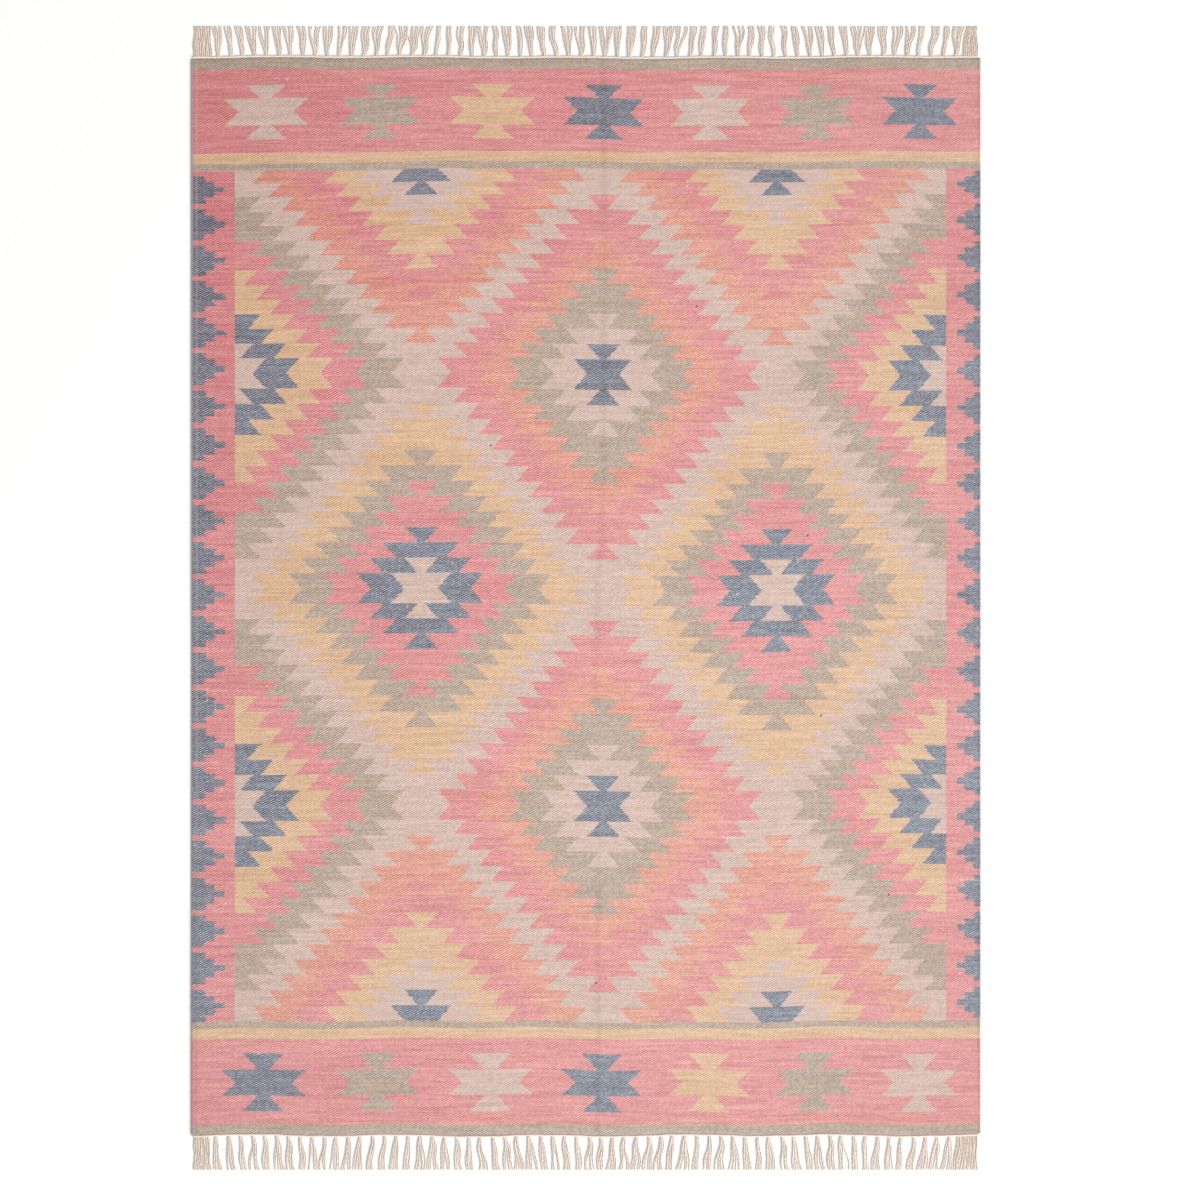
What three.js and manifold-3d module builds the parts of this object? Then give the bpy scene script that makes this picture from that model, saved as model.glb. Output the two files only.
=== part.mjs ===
// A flat-woven kilim rug lying flat on a floor, in millimetres.
// X runs across the rug from selvedge to selvedge, Y along its warps, and Z up.
// The origin lies on the floor under the middle of the rug and its fringes.
// The woven ground is one cloth. Along each of its ends, parted from it by a thin gap,
// lies a twined heading cord with the warp ends gathered into locks on the floor.

import * as THREE from "three";
import { mergeVertices } from "three/addons/utils/BufferGeometryUtils.js";
import Module from "manifold-3d";

const wasm = await Module();
wasm.setup();

// Woven ground
const CLOTH_WIDTH = 1400;
const CLOTH_LENGTH = 1908;
const CLOTH_THICKNESS = 4;
const EDGE_EASE = 1;
const SIDE_STEPS = 12;
const END_STEPS = 56;
const LEFT_DRAW_IN = 0.6;

// Heading cords
const PIECE_GAP = 0.3;
const HEADING_WIDTH = 5;
const HEADING_HEIGHT = 3.8;
const HEADING_INSET = 3;

// Locks of the fringes
const LOCKS_PER_END = 64;
const LOCK_HEIGHT = 3;
const LOCK_STEPS = 3;
const LOCK_ROOT_WIDTH = 8.5;
const LOCK_BOW = 1.5;
const ROOT_OVERLAP = 2.5;
const TIP_LEAN = 6.5;
const TIP_LEAN_JITTER = 2.5;
const LOCKS_PER_LEAN_WAVE = 23;
const TIP_CLEARANCE = 0.8;
const TIP_CLEARANCE_SPREAD = 4;

// A forked lock is two strands that part on the way to the cut.
const FORK_SHARE = 0.4;
const FORK_START = 0.2;
const FORK_GAP = 4;
const FORK_ROOT_OVERLAP = 1;
const FORK_PLACE_LEAST = 0.35;
const FORK_PLACE_MOST = 0.65;

// The two ends. facing is the way the fringe points along Y, reach how far it lies out
// past the cloth, lean_start where its slow lean starts, as a share of a wave, and
// left_corner and right_corner the widths of its wider first and last lock.
const ENDS = [
  {
    name: "far_fringe", facing: 1, reach: 57.2, salt: 1,
    lean_start: 0.55, left_corner: 36, right_corner: 30,
  },
  {
    name: "near_fringe", facing: -1, reach: 64.2, salt: 2,
    lean_start: 0.1, left_corner: 31, right_corner: 40,
  },
];

// Slow waves of the two woven ends, outward from the straight line.
const END_WAVES = [
  { facing: 1, amplitude: 0.9, wavelength: 1150, start: 0.62 },
  { facing: 1, amplitude: 0.9, wavelength: 262, start: 0.35 },
  { facing: -1, amplitude: 1.5, wavelength: 257, start: 0.05 },
  { facing: -1, amplitude: 0.5, wavelength: 900, start: 0.4 },
];

// Each kind of unevenness along a fringe has its own salt beside that of its end.
const JITTER_SALT = 3;
const LEFT_CLEARANCE_SALT = 5;
const RIGHT_CLEARANCE_SALT = 7;
const BOW_SALT = 9;
const FORK_SALT = 11;
const FORK_PLACE_SALT = 13;

// The usual sine hash, which gives each lock a fixed unevenness.
const HASH_STRIDE = 12.9898;
const HASH_SALT_STRIDE = 78.233;
const HASH_SCALE = 43758.5453;

const WELD = 1e-4;
const TOTAL_LENGTH = CLOTH_LENGTH + ENDS[0].reach + ENDS[1].reach;
const CLOTH_CENTRE_Y = (ENDS[1].reach - ENDS[0].reach) / 2;
const HEADING_HALF = CLOTH_WIDTH / 2 - HEADING_INSET;

const { lerp, smoothstep } = THREE.MathUtils;

// A fixed number from 0 to 1 for one lock and one use.
function uneven(index, salt) {
  const raised = Math.sin(index * HASH_STRIDE + salt * HASH_SALT_STRIDE) * HASH_SCALE;
  return raised - Math.floor(raised);
}

// The same, from -1 to 1.
function sway(index, salt) {
  return 2 * uneven(index, salt) - 1;
}

// How far the woven end that faces this way reaches past its straight line at x.
function endWave(facing, x) {
  let reach = 0;
  for (const wave of END_WAVES.filter((row) => row.facing === facing)) {
    reach += wave.amplitude * Math.sin(2 * Math.PI * (x / wave.wavelength + wave.start));
  }
  return reach;
}

// The Y of a woven end's edge at x.
function clothEndY(facing, x) {
  return CLOTH_CENTRE_Y + facing * (CLOTH_LENGTH / 2 + endWave(facing, x));
}

// The left selvedge is drawn in a little towards the middle of its length.
function leftSideX(share) {
  return LEFT_DRAW_IN * Math.sin(Math.PI * share) ** 2 - CLOTH_WIDTH / 2;
}

// The plan of the woven ground, counterclockwise from its near left corner.
function clothOutline() {
  const points = [];
  for (const facing of [-1, 1]) {
    for (let i = 0; i <= END_STEPS; i += 1) {
      const x = facing * lerp(CLOTH_WIDTH / 2, -CLOTH_WIDTH / 2, i / END_STEPS);
      points.push(new THREE.Vector2(x, clothEndY(facing, x)));
    }
  }
  const corner = -CLOTH_WIDTH / 2;
  for (let i = 1; i < SIDE_STEPS; i += 1) {
    const share = i / SIDE_STEPS;
    const y = lerp(clothEndY(1, corner), clothEndY(-1, corner), share);
    points.push(new THREE.Vector2(leftSideX(share), y));
  }
  return points;
}

// The woven ground: one flat cloth with eased edges.
function clothGeometry() {
  const geometry = new THREE.ExtrudeGeometry(new THREE.Shape(clothOutline()), {
    depth: CLOTH_THICKNESS - 2 * EDGE_EASE,
    bevelEnabled: true,
    bevelThickness: EDGE_EASE,
    bevelSize: EDGE_EASE,
    bevelOffset: -EDGE_EASE,
    bevelSegments: 1,
  });
  return geometry.translate(0, 0, EDGE_EASE);
}

// The X between two locks at their roots, before the lock of this index.
function rootSlotX(end, index) {
  const between = LOCKS_PER_END - 2;
  const pitch = (2 * HEADING_HALF - end.left_corner - end.right_corner) / between;
  if (index === 0) return -HEADING_HALF;
  if (index === LOCKS_PER_END) return HEADING_HALF;
  return end.left_corner - HEADING_HALF + (index - 1) * pitch;
}

// The same at the cut, where the locks lean in slow waves.
function tipSlotX(end, index) {
  const rootX = rootSlotX(end, index);
  if (index === 0 || index === LOCKS_PER_END) return rootX;
  const wave = Math.sin(2 * Math.PI * (index / LOCKS_PER_LEAN_WAVE + end.lean_start));
  return rootX + TIP_LEAN * wave + TIP_LEAN_JITTER * sway(index, end.salt + JITTER_SALT);
}

// One lock: its edges at the root and at the cut, its bow, and where it forks, if it does.
function lockPlan(end, index) {
  const slotLeft = rootSlotX(end, index);
  const slotRight = rootSlotX(end, index + 1);
  const corner = index === 0 || index === LOCKS_PER_END - 1;
  const forks = !corner && uneven(index, end.salt + FORK_SALT) < FORK_SHARE;
  const rootHalf = corner ? (slotRight - slotLeft) / 2 - TIP_CLEARANCE : LOCK_ROOT_WIDTH / 2;
  const spread = corner || forks ? 0 : TIP_CLEARANCE_SPREAD;
  const leftClearance = TIP_CLEARANCE + spread * uneven(index, end.salt + LEFT_CLEARANCE_SALT);
  const rightClearance = TIP_CLEARANCE + spread * uneven(index, end.salt + RIGHT_CLEARANCE_SALT);
  return {
    rootLeft: (slotLeft + slotRight) / 2 - rootHalf,
    rootRight: (slotLeft + slotRight) / 2 + rootHalf,
    tipLeft: tipSlotX(end, index) + leftClearance,
    tipRight: tipSlotX(end, index + 1) - rightClearance,
    bow: corner ? 0 : LOCK_BOW * sway(index, end.salt + BOW_SALT),
    forks,
    forkPlace: lerp(FORK_PLACE_LEAST, FORK_PLACE_MOST, uneven(index, end.salt + FORK_PLACE_SALT)),
  };
}

// A lock's strands. from and to are their sides as shares of the lock's width, and
// from_fork and to_fork the way each side moves where the lock forks.
function strandsOf(lock) {
  if (!lock.forks) {
    return [{ from: 0, to: 1, from_fork: 0, to_fork: 0 }];
  }
  return [
    { from: 0, to: lock.forkPlace, from_fork: 0, to_fork: -1 },
    { from: lock.forkPlace, to: 1, from_fork: 1, to_fork: 0 },
  ];
}

// The X of a place across a lock, from its left at 0 to its right at 1, this far out.
function lockX(lock, out, across) {
  const left = lerp(lock.rootLeft, lock.tipLeft, out);
  const right = lerp(lock.rootRight, lock.tipRight, out);
  return lerp(left, right, across) + lock.bow * Math.sin(Math.PI * out);
}

// The plan of one strand: its left side out to the cut and its right side back.
function strandOutline(end, lock, strand) {
  const rootX = (lock.rootLeft + lock.rootRight) / 2;
  const rootY = clothEndY(end.facing, rootX) + end.facing * (PIECE_GAP + HEADING_WIDTH - ROOT_OVERLAP);
  const cutY = (end.facing * TOTAL_LENGTH) / 2;
  const left = [];
  const right = [];
  for (let i = 0; i <= LOCK_STEPS; i += 1) {
    const out = i / LOCK_STEPS;
    const y = lerp(rootY, cutY, out);
    const parting = lerp(-FORK_ROOT_OVERLAP, FORK_GAP / 2, smoothstep(out, FORK_START, 1));
    left.push(new THREE.Vector2(lockX(lock, out, strand.from) + strand.from_fork * parting, y));
    right.push(new THREE.Vector2(lockX(lock, out, strand.to) + strand.to_fork * parting, y));
  }
  return [...left, ...right.reverse()];
}

// The plan of a heading cord, which follows the woven end.
function headingOutline(end) {
  const inner = [];
  const outer = [];
  for (let i = 0; i <= END_STEPS; i += 1) {
    const x = lerp(-HEADING_HALF, HEADING_HALF, i / END_STEPS);
    const y = clothEndY(end.facing, x) + end.facing * PIECE_GAP;
    inner.push(new THREE.Vector2(x, y));
    outer.push(new THREE.Vector2(x, y + end.facing * HEADING_WIDTH));
  }
  return [...inner, ...outer.reverse()];
}

// A closed geometry as a solid that can be joined to others.
function toSolid(geometry) {
  geometry.deleteAttribute("normal");
  geometry.deleteAttribute("uv");
  const welded = mergeVertices(geometry, WELD);
  return new wasm.Manifold(new wasm.Mesh({
    numProp: 3,
    vertProperties: new Float32Array(welded.attributes.position.array),
    triVerts: new Uint32Array(welded.index.array),
  }));
}

// A joined solid as a geometry again.
function toGeometry(solid) {
  const mesh = solid.getMesh();
  const geometry = new THREE.BufferGeometry();
  geometry.setAttribute("position", new THREE.BufferAttribute(mesh.vertProperties, mesh.numProp));
  geometry.setIndex(new THREE.BufferAttribute(mesh.triVerts, 1));
  geometry.computeVertexNormals();
  return geometry;
}

// A four-sided solid that stands on the floor over a plan outline.
function raisedSolid(outline, height) {
  const settings = { depth: height, bevelEnabled: false };
  return toSolid(new THREE.ExtrudeGeometry(new THREE.Shape(outline), settings));
}

// One end's heading cord, with the strands of its locks fused to it at their roots.
function fringeGeometry(end) {
  let fringe = raisedSolid(headingOutline(end), HEADING_HEIGHT);
  for (let index = 0; index < LOCKS_PER_END; index += 1) {
    const lock = lockPlan(end, index);
    for (const strand of strandsOf(lock)) {
      fringe = fringe.add(raisedSolid(strandOutline(end, lock, strand), LOCK_HEIGHT));
    }
  }
  return toGeometry(fringe);
}

function namedMesh(name, geometry, material) {
  const mesh = new THREE.Mesh(geometry, material);
  mesh.name = name;
  return mesh;
}

const wovenYarn = new THREE.MeshStandardMaterial({ color: 0xd29d92, roughness: 0.95, metalness: 0 });
const fringeYarn = new THREE.MeshStandardMaterial({ color: 0xd8c6b3, roughness: 0.92, metalness: 0 });

const group = new THREE.Group();
group.add(namedMesh("woven_ground", clothGeometry(), wovenYarn));
for (const end of ENDS) {
  group.add(namedMesh(end.name, fringeGeometry(end), fringeYarn));
}

export default group;
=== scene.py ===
"""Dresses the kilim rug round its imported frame.

The woven ground is one closed cloth mesh that carries the weaver's chart on every point: the number
of warps from the left selvedge and of weft pips from the far end. Its finish colours each pip by
the rules of the design. The fringes are plied warp ends that follow the frame's own locks.
Everything is in metres, with +Y towards the far fringe and +Z up out of the walking face.
"""

from __future__ import annotations

import logging
import math
from dataclasses import dataclass
from enum import Enum
from typing import Sequence, Union

import bpy
import numpy as np
from mathutils import Matrix, Vector


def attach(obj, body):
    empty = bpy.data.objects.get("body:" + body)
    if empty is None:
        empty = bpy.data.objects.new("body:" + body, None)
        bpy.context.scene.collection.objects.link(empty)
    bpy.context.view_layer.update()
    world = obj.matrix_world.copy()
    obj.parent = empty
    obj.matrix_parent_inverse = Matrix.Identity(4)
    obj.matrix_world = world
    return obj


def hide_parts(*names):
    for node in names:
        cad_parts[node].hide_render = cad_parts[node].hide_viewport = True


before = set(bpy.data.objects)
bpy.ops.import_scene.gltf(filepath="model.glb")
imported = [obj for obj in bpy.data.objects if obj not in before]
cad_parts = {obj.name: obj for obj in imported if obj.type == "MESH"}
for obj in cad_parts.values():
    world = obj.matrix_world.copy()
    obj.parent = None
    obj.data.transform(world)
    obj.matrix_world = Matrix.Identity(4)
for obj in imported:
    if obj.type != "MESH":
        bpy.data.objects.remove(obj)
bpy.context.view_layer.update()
LOG = logging.getLogger("kilim_rug")

MM = 0.001
WARP_COUNT = 400
PIP_COUNT = 494
CLOTH_WIDTH = 1.400
CLOTH_LENGTH = 1.908
CLOTH_TOP = 0.004
NEAR_REACH = 0.0642
FAR_REACH = 0.0572
CLOTH_CENTRE_Y = (NEAR_REACH - FAR_REACH) / 2
TOTAL_LENGTH = CLOTH_LENGTH + NEAR_REACH + FAR_REACH
CLEANEST_WHITE = 0.97
YARN_SCALE = 8.0

Tree = bpy.types.NodeTree
Socket = bpy.types.NodeSocket
Number = Union[float, "Term"]
Colour = tuple[float, float, float]
Shade = tuple[int, int, int]


def smooth(value: float, low: float, high: float) -> float:
    """Rises smoothly from 0 at low to 1 at high."""
    share = min(max((value - low) / (high - low), 0.0), 1.0)
    return share * share * (3.0 - 2.0 * share)


def blend(start: float, end: float, share: float) -> float:
    """A number part of the way from start to end."""
    return start + (end - start) * share


def uneven(index: int, salt: int) -> float:
    """A fixed number from 0 to 1 that differs for every index and salt."""
    value = math.sin(index * 12.9898 + salt * 78.233) * 43758.5453
    return value - math.floor(value)


def sway(index: int, salt: int) -> float:
    """A fixed number from -1 to 1 that differs for every index and salt."""
    return 2.0 * uneven(index, salt) - 1.0


def linear_light(shade: Shade, exposure: float) -> Colour:
    """Turns a shade of 8 bit display values into a surface colour.

    Args:
        shade: red, green and blue from 0 to 255, as seen under the studio light.
        exposure: how bright a white card comes out under that light.

    Returns:
        The colour that the finish needs to show that shade.
    """
    shares = [value / 255.0 for value in shade]
    lights = [part / 12.92 if part <= 0.04045 else ((part + 0.055) / 1.055) ** 2.4 for part in shares]
    red, green, blue = (min(light / exposure, CLEANEST_WHITE) for light in lights)
    return red, green, blue


def put_in_scene(name: str, data: bpy.types.ID) -> bpy.types.Object:
    """Makes an object of a mesh, light or camera and links it into the scene.

    Args:
        name: its name.
        data: its mesh, light or camera.

    Returns:
        The linked object.
    """
    thing = bpy.data.objects.new(name, data)
    bpy.context.scene.collection.objects.link(thing)
    return thing


def carry(mesh: bpy.types.Mesh, name: str, values: np.ndarray) -> None:
    """Keeps a number on every point of a mesh under a name that a finish reads."""
    layer = mesh.attributes.new(name, "FLOAT", "POINT")
    layer.data.foreach_set("value", values.astype(np.float32))


class Term:
    """A number that a node tree works out, with the usual signs of arithmetic."""

    def __init__(self, tree: Tree, socket: Socket) -> None:
        """Keeps the tree and the socket that gives the number."""
        self.tree = tree
        self.socket = socket

    def work(self, kind: str, *others: Number) -> Term:
        """The result of one Math node with this number as its first input."""
        return maths(self.tree, kind, self, *others)

    def __add__(self, other: Number) -> Term:
        """This number plus another."""
        return self.work("ADD", other)

    def __sub__(self, other: Number) -> Term:
        """This number less another."""
        return self.work("SUBTRACT", other)

    def __mul__(self, other: Number) -> Term:
        """This number times another."""
        return self.work("MULTIPLY", other)

    def __truediv__(self, other: Number) -> Term:
        """This number divided by another."""
        return self.work("DIVIDE", other)

    def __radd__(self, other: float) -> Term:
        """A plain number plus this one."""
        return self.work("ADD", other)

    def __rsub__(self, other: float) -> Term:
        """A plain number less this one."""
        return maths(self.tree, "SUBTRACT", other, self)

    def floor(self) -> Term:
        """The whole number at or below this one."""
        return self.work("FLOOR")

    def size(self) -> Term:
        """This number without its sign."""
        return self.work("ABSOLUTE")

    def wrap(self, span: float) -> Term:
        """What is left of this number after whole spans are taken away."""
        return self.work("FLOORED_MODULO", span)

    def over(self, limit: Number) -> Term:
        """1 where this number is over the limit, and 0 elsewhere."""
        return self.work("GREATER_THAN", limit)

    def under(self, limit: Number) -> Term:
        """1 where this number is under the limit, and 0 elsewhere."""
        return self.work("LESS_THAN", limit)

    def between(self, low: float, high: float) -> Term:
        """1 where this number lies between two limits, and 0 elsewhere."""
        return self.over(low) * self.under(high)

    def either(self, other: Number) -> Term:
        """The larger of two numbers, which joins two masks."""
        return self.work("MAXIMUM", other)

    def held(self, low: Number, high: Number) -> Term:
        """This number held between two limits."""
        return self.work("MAXIMUM", low).work("MINIMUM", high)

    def pick(self, yes: Number, no: Number) -> Term:
        """The first number where this mask is 1, and the second where it is 0."""
        return self.work("MULTIPLY_ADD", yes - no, no)

    def spread(self, low: float, high: float, new_low: float, new_high: float) -> Term:
        """Maps low..high smoothly to new_low..new_high, held at both ends.

        Args:
            low: the number that gives new_low.
            high: the number that gives new_high.
            new_low: the result at low and below.
            new_high: the result at high and above.

        Returns:
            The mapped number.
        """
        node = self.tree.nodes.new("ShaderNodeMapRange")
        node.interpolation_type = "SMOOTHSTEP"
        self.tree.links.new(self.socket, node.inputs["Value"])
        limits = {"From Min": low, "From Max": high, "To Min": new_low, "To Max": new_high}
        for name, value in limits.items():
            node.inputs[name].default_value = value
        return Term(self.tree, node.outputs["Result"])


def feed(tree: Tree, value: Number, socket: Socket) -> None:
    """Links a worked number to a socket, or sets a plain one on it.

    Args:
        tree: the tree of the socket.
        value: the worked or plain number.
        socket: the input that takes it.
    """
    if isinstance(value, Term):
        tree.links.new(value.socket, socket)
    else:
        socket.default_value = value


def maths(tree: Tree, kind: str, *values: Number) -> Term:
    """Adds one Math node.

    Args:
        tree: the tree it goes in.
        kind: its operation.
        values: its inputs in order, as worked or plain numbers.

    Returns:
        The node's result.
    """
    node = tree.nodes.new("ShaderNodeMath")
    node.operation = kind
    for value, socket in zip(values, node.inputs):
        feed(tree, value, socket)
    return Term(tree, node.outputs[0])


def steps(term: Term, colours: Sequence[Colour]) -> Socket:
    """Looks a colour up by a whole number from 0.

    Args:
        term: the whole number.
        colours: the colour for each number.

    Returns:
        The socket that gives the colour.
    """
    node = term.tree.nodes.new("ShaderNodeValToRGB")
    node.color_ramp.interpolation = "CONSTANT"
    elements = node.color_ramp.elements
    while len(elements) < len(colours):
        elements.new(1.0)
    for index, colour in enumerate(colours):
        elements[index].position = index / len(colours)
        elements[index].color = (*colour, 1.0)
    feed(term.tree, (term + 0.5) / float(len(colours)), node.inputs["Fac"])
    return node.outputs["Color"]


def table(term: Term, values: Sequence[float]) -> Term:
    """Looks a number from 0 to 1 up by a whole number from 0."""
    return Term(term.tree, steps(term, [(value, value, value) for value in values]))


def spot(tree: Tree, *values: Number) -> Socket:
    """Joins three numbers into a place in texture space.

    Args:
        tree: the tree it goes in.
        values: the three numbers, worked or plain.

    Returns:
        The socket that gives the place.
    """
    node = tree.nodes.new("ShaderNodeCombineXYZ")
    for value, socket in zip(values, node.inputs):
        feed(tree, value, socket)
    return node.outputs["Vector"]


def noise(tree: Tree, place: Socket, scale: float = 1.0, detail: float = 2.0) -> Term:
    """Soft noise from 0 to 1 at a place.

    Args:
        tree: the tree it goes in.
        place: the socket that gives the place.
        scale: how fine the noise is.
        detail: how many finer layers it has.

    Returns:
        The noise at that place.
    """
    node = tree.nodes.new("ShaderNodeTexNoise")
    node.inputs["Scale"].default_value = scale
    node.inputs["Detail"].default_value = detail
    tree.links.new(place, node.inputs["Vector"])
    return Term(tree, node.outputs["Fac"])


def white(tree: Tree, column: Term, pick: Term, layer: float = 0.0) -> Term:
    """One unrelated number from 0 to 1 for each pip.

    Args:
        tree: the tree it goes in.
        column: the pip's warp.
        pick: the pip's place down that warp.
        layer: a number that keeps one use apart from another.

    Returns:
        The pip's number.
    """
    node = tree.nodes.new("ShaderNodeTexWhiteNoise")
    node.noise_dimensions = "3D"
    tree.links.new(spot(tree, column, pick * 2.0, layer), node.inputs["Vector"])
    return Term(tree, node.outputs["Value"])


def carried(tree: Tree, name: str) -> Term:
    """Reads a number that the mesh carries on its points.

    Args:
        tree: the tree it goes in.
        name: the number's name.

    Returns:
        The number at each point.
    """
    node = tree.nodes.new("ShaderNodeAttribute")
    node.attribute_name = name
    return Term(tree, node.outputs["Fac"])


def mix(tree: Tree, share: Number, first: Union[Socket, Colour], second: Union[Socket, Colour]) -> Socket:
    """Mixes two colours, past either end too.

    Args:
        tree: the tree it goes in.
        share: 0 for the first colour and 1 for the second.
        first: a worked or plain colour.
        second: a worked or plain colour.

    Returns:
        The socket that gives the mixed colour.
    """
    node = tree.nodes.new("ShaderNodeMix")
    node.data_type = "RGBA"
    node.clamp_factor = False
    feed(tree, share, node.inputs["Factor"])
    for value, socket in ((first, node.inputs[6]), (second, node.inputs[7])):
        if isinstance(value, tuple):
            socket.default_value = (*value, 1.0)
        else:
            tree.links.new(value, socket)
    return node.outputs[2]


def scaled(tree: Tree, colour: Socket, tone: Term) -> Socket:
    """Brightens or darkens a colour by a tone around 1.

    Args:
        tree: the tree it goes in.
        colour: the socket that gives the colour.
        tone: the tone at each point.

    Returns:
        The socket that gives the new colour.
    """
    node = tree.nodes.new("ShaderNodeVectorMath")
    node.operation = "SCALE"
    tree.links.new(colour, node.inputs[0])
    tree.links.new(tone.socket, node.inputs["Scale"])
    return node.outputs["Vector"]


@dataclass(frozen=True)
class YarnTouch:
    """How a yarn's surface takes the light, and how strong and deep its bump is."""

    gloss: float
    sheen: float
    sheen_roughness: float
    bump: float
    depth: float

    def finish(self, tree: Tree, colour: Socket, roughness: Term, height: Term) -> None:
        """Joins the worked colour, roughness and height in the surface.

        Args:
            tree: the material's tree.
            colour: the socket that gives the colour.
            roughness: the roughness at each point.
            height: the height for the bump.
        """
        shader = tree.nodes.new("ShaderNodeBsdfPrincipled")
        tree.links.new(colour, shader.inputs["Base Color"])
        feed(tree, roughness, shader.inputs["Roughness"])
        shader.inputs["Specular IOR Level"].default_value = self.gloss
        shader.inputs["Sheen Weight"].default_value = self.sheen
        shader.inputs["Sheen Roughness"].default_value = self.sheen_roughness
        bump = tree.nodes.new("ShaderNodeBump")
        bump.inputs["Strength"].default_value = self.bump
        bump.inputs["Distance"].default_value = self.depth
        feed(tree, height, bump.inputs["Height"])
        tree.links.new(bump.outputs["Normal"], shader.inputs["Normal"])
        output = tree.nodes.new("ShaderNodeOutputMaterial")
        tree.links.new(shader.outputs["BSDF"], output.inputs["Surface"])


def bare_material(name: str) -> bpy.types.Material:
    """A new material with an empty node tree.

    Args:
        name: its name.

    Returns:
        The material.
    """
    material = bpy.data.materials.new(name)
    material.use_nodes = True
    material.node_tree.nodes.clear()
    return material


class Yarn(Enum):
    """The dyed weft yarns, in the order in which the chart numbers them."""

    PINK = 0
    CORAL = 1
    YELLOW = 2
    SAGE = 3
    BLUE = 4
    CREAM = 5
    BEIGE = 6
    MAUVE = 7


def yarn_table(term: Term, yarns: Sequence[Yarn]) -> Term:
    """Looks a yarn up by a whole number from 0, as its chart number over YARN_SCALE."""
    return table(term, [yarn.value / YARN_SCALE for yarn in yarns])


@dataclass(frozen=True)
class Dye:
    """How one dyed yarn looks.

    The first shade is that of the far left corner and the second that of the near right corner,
    as 8 bit display values; the step between them is partly dye fade and partly painted light,
    which is brighter towards the near right. The last number is how strongly its pips vary, in
    fibre tone and in the painted shade of their crests and grooves.
    """

    yarn: Yarn
    deep_and_shaded: Shade
    faded_and_lit: Shade
    heather_and_shade: float


DYES = (
    Dye(Yarn.PINK, (211, 131, 133), (232, 165, 164), 0.9),
    Dye(Yarn.CORAL, (214, 140, 126), (233, 175, 158), 0.95),
    Dye(Yarn.YELLOW, (213, 173, 137), (231, 196, 165), 0.75),
    Dye(Yarn.SAGE, (179, 158, 143), (196, 178, 163), 1.15),
    Dye(Yarn.BLUE, (119, 114, 126), (147, 151, 162), 1.75),
    Dye(Yarn.CREAM, (206, 179, 167), (222, 196, 185), 0.8),
    Dye(Yarn.BEIGE, (206, 179, 168), (222, 196, 185), 0.8),
    Dye(Yarn.MAUVE, (206, 178, 168), (223, 197, 186), 0.6),
)


@dataclass(frozen=True)
class EndWave:
    """One slow wave of a woven end."""

    facing: int
    amplitude: float
    wavelength: float
    start: float


END_WAVES = (
    EndWave(1, 0.0009, 1.150, 0.62),
    EndWave(1, 0.0009, 0.262, 0.35),
    EndWave(-1, 0.0015, 0.257, 0.05),
    EndWave(-1, 0.0005, 0.900, 0.40),
)


def end_wave(facing: int, x: float) -> float:
    """How far a woven end stands out beyond its mean place.

    Args:
        facing: 1 for the far end and -1 for the near end.
        x: the place across the rug.

    Returns:
        The distance beyond the mean end.
    """
    return sum(
        wave.amplitude * math.sin(math.tau * (x / wave.wavelength + wave.start))
        for wave in END_WAVES
        if wave.facing == facing
    )


def cloth_end_y(facing: int, x: float) -> float:
    """Where a woven end lies along Y at a place across the rug."""
    return CLOTH_CENTRE_Y + facing * (CLOTH_LENGTH / 2 + end_wave(facing, x))


@dataclass(frozen=True)
class HourglassRow:
    """A row of hourglass motifs in one end border, each motif with its yarn and its extra width.

    The middle is in pips, the tip height too, and the rest is in warps.
    """

    middle: float
    tip: float
    central: float
    pitch: float
    yarns: tuple[Yarn, ...]
    extra: tuple[float, ...]

    def widening(self, index: Term) -> Term:
        """A motif's extra width by its number, moved from -1..1 to 0..1."""
        return table(index, [(wider + 1.0) / 2.0 for wider in self.extra])


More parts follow.
